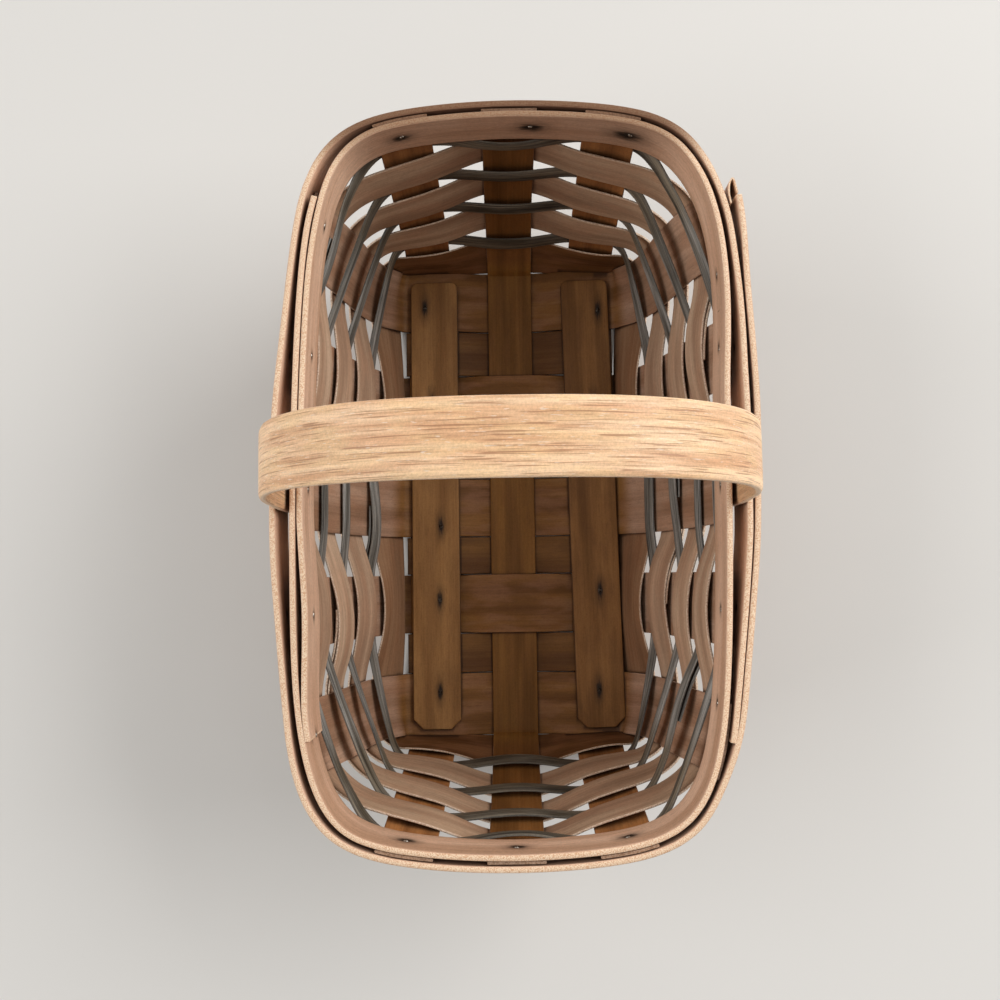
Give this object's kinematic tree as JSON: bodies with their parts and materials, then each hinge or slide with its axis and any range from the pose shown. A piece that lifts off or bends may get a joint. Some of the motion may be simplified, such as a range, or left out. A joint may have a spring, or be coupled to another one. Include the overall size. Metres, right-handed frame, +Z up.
{
  "type": "splint basket with fixed handle",
  "caption": "Rectangular woven wood splint basket with rounded corners, dark narrow accent weavers, a nailed double rim and a fixed bentwood handle across the middle.",
  "frame": {"origin": "on the surface that the basket stands on, under the middle of its box", "axes": "+Z up, +Y along the basket towards the end that is at the top of the picture, +X to the right, along the span of the handle"},
  "size_m": [0.1662, 0.2614, 0.1917],
  "materials": {
    "upright_splint": "satin",
    "weaver_splint": "satin",
    "dyed_splint": "satin",
    "base_wood": "satin",
    "hoop_wood": "satin",
    "handle_wood": "satin",
    "tack": "satin"
  },
  "bodies": {
    "root": {"length_splint_left": "upright_splint", "length_splint_centre": "upright_splint", "length_splint_right": "upright_splint", "cross_splint_1": "upright_splint", "cross_splint_2": "upright_splint", "cross_splint_3": "upright_splint", "cross_splint_4": "upright_splint", "cross_splint_5": "upright_splint", "base_filler_1": "base_wood", "base_filler_2": "base_wood", "base_filler_3": "base_wood", "base_filler_4": "base_wood", "base_strip_left": "base_wood", "base_strip_right": "base_wood", "wide_weaver_1": "weaver_splint", "wide_weaver_2": "weaver_splint", "wide_weaver_3": "weaver_splint", "wide_weaver_4": "weaver_splint", "narrow_weaver_1": "dyed_splint", "narrow_weaver_2": "dyed_splint", "narrow_weaver_3": "dyed_splint", "narrow_weaver_4": "dyed_splint", "inner_hoop": "hoop_wood", "outer_hoop": "hoop_wood", "handle": "handle_wood"}
  },
  "joints": []
}
